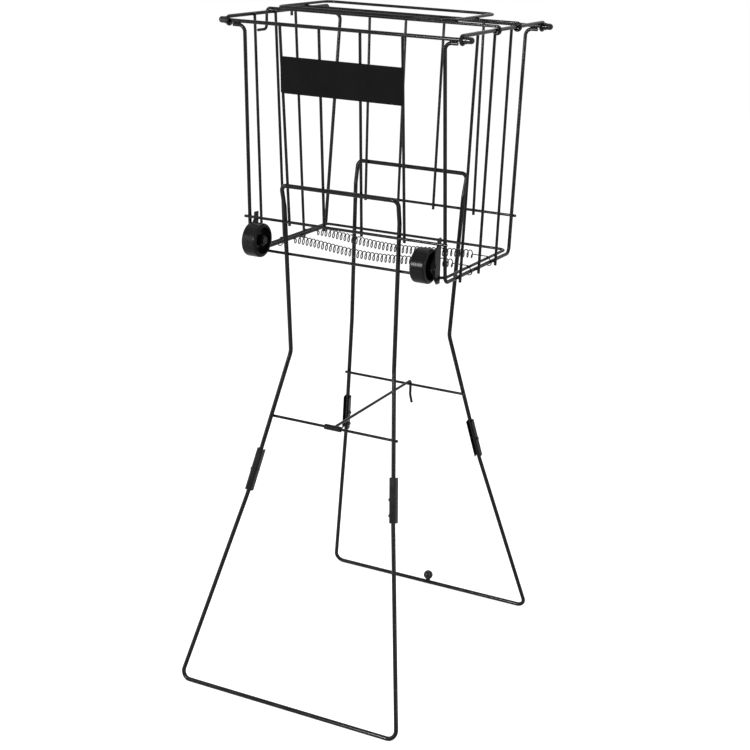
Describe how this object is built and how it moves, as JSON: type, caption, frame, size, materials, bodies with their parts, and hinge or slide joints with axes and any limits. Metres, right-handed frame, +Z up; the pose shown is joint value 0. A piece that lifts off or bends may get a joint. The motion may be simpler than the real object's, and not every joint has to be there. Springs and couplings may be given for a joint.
{
  "type": "ball hopper",
  "caption": "Black wire ball hopper: a tapered basket with a sprung floor, a hinged wire lid and small wheels, held up on two folding wire leg frames.",
  "frame": {"origin": "on the floor under the middle of the basket, between the four feet", "axes": "+Z up, +Y from the front face with the wheels and the label place to the back, +X to the right along the front face"},
  "size_m": [0.376, 0.4815, 0.943],
  "materials": {
    "black_enamel": "satin",
    "spring_steel": "satin",
    "dark_hardware": "satin",
    "wheel_plastic": "satin",
    "cap_plastic": "satin",
    "label_plastic": "matte"
  },
  "bodies": {
    "basket": {"back_floor_spring": "spring_steel", "back_left_cap": "cap_plastic", "back_mid_rail": "black_enamel", "back_right_cap": "cap_plastic", "back_top_rail": "black_enamel", "back_wire_1": "black_enamel", "back_wire_2": "black_enamel", "back_wire_3": "black_enamel", "back_wire_4": "black_enamel", "floor_ring": "black_enamel", "front_floor_spring": "spring_steel", "front_left_cap": "cap_plastic", "front_left_leg_channel": "black_enamel", "front_leg_brace": "black_enamel", "front_mid_rail": "black_enamel", "front_right_cap": "cap_plastic", "front_right_leg_channel": "black_enamel", "front_top_rail": "black_enamel", "front_upper_leg": "black_enamel", "front_wire_1": "black_enamel", "front_wire_2": "black_enamel", "front_wire_3": "black_enamel", "front_wire_4": "black_enamel", "label_plate": "label_plastic", "left_side_frame": "black_enamel", "left_side_rim": "black_enamel", "left_wheel_bolt": "dark_hardware", "left_wheel_bracket": "black_enamel", "left_wheel_nut": "dark_hardware", "left_wire_1": "black_enamel", "left_wire_2": "black_enamel", "left_wire_3": "black_enamel", "leg_pivot_rivets": "dark_hardware", "lock_studs": "dark_hardware", "rear_left_leg_channel": "black_enamel", "rear_leg_brace": "black_enamel", "rear_right_leg_channel": "black_enamel", "rear_upper_leg": "black_enamel", "right_side_frame": "black_enamel", "right_side_rim": "black_enamel", "right_wheel_bolt": "dark_hardware", "right_wheel_bracket": "black_enamel", "right_wheel_nut": "dark_hardware", "right_wire_1": "black_enamel", "right_wire_2": "black_enamel", "right_wire_3": "black_enamel"},
    "left_wheel": {"left_wheel": "wheel_plastic"},
    "right_wheel": {"right_wheel": "wheel_plastic"},
    "lid": {"front_lid_wire": "black_enamel", "back_lid_wire": "black_enamel", "lid_loop": "black_enamel"},
    "front_foot_frame": {"front_lower_leg": "black_enamel"},
    "rear_foot_frame": {"rear_lower_leg": "black_enamel", "foot_knob": "cap_plastic"},
    "stay": {"stay_sleeve": "black_enamel", "stay_rod": "black_enamel"}
  },
  "joints": [
    {"name": "left_wheel_spin", "type": "hinge", "parent": "basket", "child": "left_wheel", "pos_m": [-0.128, -0.125, 0.633], "axis": [1, 0, 0], "continuous": true},
    {"name": "right_wheel_spin", "type": "hinge", "parent": "basket", "child": "right_wheel", "pos_m": [0.128, -0.125, 0.633], "axis": [1, 0, 0], "continuous": true},
    {"name": "lid_hinge", "type": "hinge", "parent": "basket", "child": "lid", "pos_m": [0.171, 0, 0.9321], "axis": [0, 1, 0], "range_deg": [0, 240]},
    {"name": "front_leg_fold", "type": "hinge", "parent": "basket", "child": "front_foot_frame", "pos_m": [0, -0.14319, 0.305], "axis": [1, 0, 0], "range_deg": [0, 42]},
    {"name": "rear_leg_fold", "type": "hinge", "parent": "basket", "child": "rear_foot_frame", "pos_m": [0, 0.14319, 0.305], "axis": [-1, 0, 0], "range_deg": [0, 42]},
    {"name": "stay_hinge", "type": "hinge", "parent": "basket", "child": "stay", "pos_m": [-0.0055, -0.11754, 0.38017], "axis": [1, 0, 0], "range_deg": [0, 50]}
  ]
}
